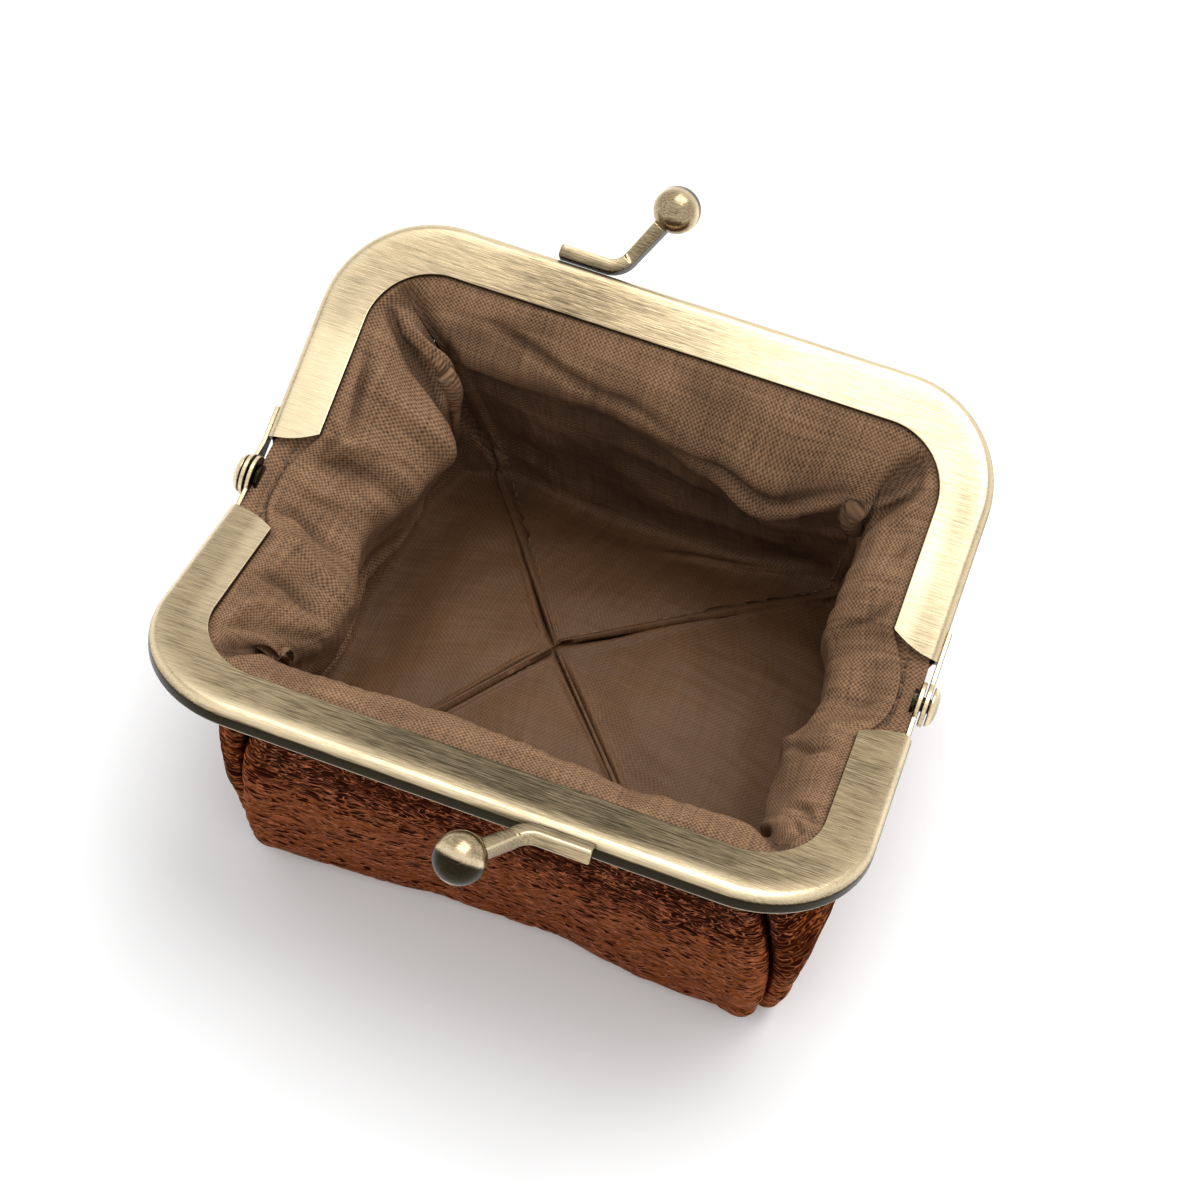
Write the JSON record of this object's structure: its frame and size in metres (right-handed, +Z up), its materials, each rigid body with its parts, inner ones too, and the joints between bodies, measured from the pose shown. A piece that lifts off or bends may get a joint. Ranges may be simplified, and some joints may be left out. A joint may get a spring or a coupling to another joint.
{
  "type": "kiss-lock coin purse",
  "caption": "Small box-bottomed purse of metallic leather with a hinged kiss-lock frame and a padded cloth lining, standing open.",
  "frame": {"origin": "on the surface that the purse stands on, under the middle of the hinge axis", "axes": "+X along the hinge axis to the right, +Y to the rear, +Z up"},
  "size_m": [0.109, 0.1168, 0.0647],
  "materials": {
    "antique_brass": "satin",
    "bronze_leather": "satin",
    "lining_cloth": "matte",
    "batting": "matte",
    "paper_cord": "matte",
    "thread": "matte"
  },
  "bodies": {
    "pouch": {"leather_front_panel": "bronze_leather", "leather_rear_panel": "bronze_leather", "leather_left_gusset": "bronze_leather", "leather_right_gusset": "bronze_leather", "padding_front_panel": "batting", "padding_rear_panel": "batting", "padding_left_gusset": "batting", "padding_right_gusset": "batting", "lining_front_panel": "lining_cloth", "lining_rear_panel": "lining_cloth", "lining_left_gusset": "lining_cloth", "lining_right_gusset": "lining_cloth", "left_hem_thread": "thread", "right_hem_thread": "thread"},
    "front_half": {"front_frame": "antique_brass", "front_clasp_arm": "antique_brass", "front_clasp_ball": "antique_brass", "front_paper_cord": "paper_cord"},
    "rear_half": {"rear_frame": "antique_brass", "rear_clasp_arm": "antique_brass", "rear_clasp_ball": "antique_brass", "rear_paper_cord": "paper_cord", "left_rivet": "antique_brass", "right_rivet": "antique_brass"}
  },
  "joints": [
    {"name": "front_hinge", "type": "hinge", "parent": "pouch", "child": "front_half", "pos_m": [0, 0, 0.04], "axis": [1, 0, 0], "range_deg": [-70.5, 17.5], "deforming": ["leather_front_panel", "leather_left_gusset", "leather_right_gusset", "padding_front_panel", "padding_left_gusset", "padding_right_gusset", "lining_front_panel", "lining_left_gusset", "lining_right_gusset", "left_hem_thread", "right_hem_thread"]},
    {"name": "rear_hinge", "type": "hinge", "parent": "pouch", "child": "rear_half", "pos_m": [0, 0, 0.04], "axis": [1, 0, 0], "range_deg": [-17.5, 70.5], "deforming": ["leather_rear_panel", "padding_rear_panel", "lining_rear_panel"]}
  ],
  "couplings": [
    {"joint": "rear_hinge", "follows": "front_hinge", "ratio": -1}
  ]
}
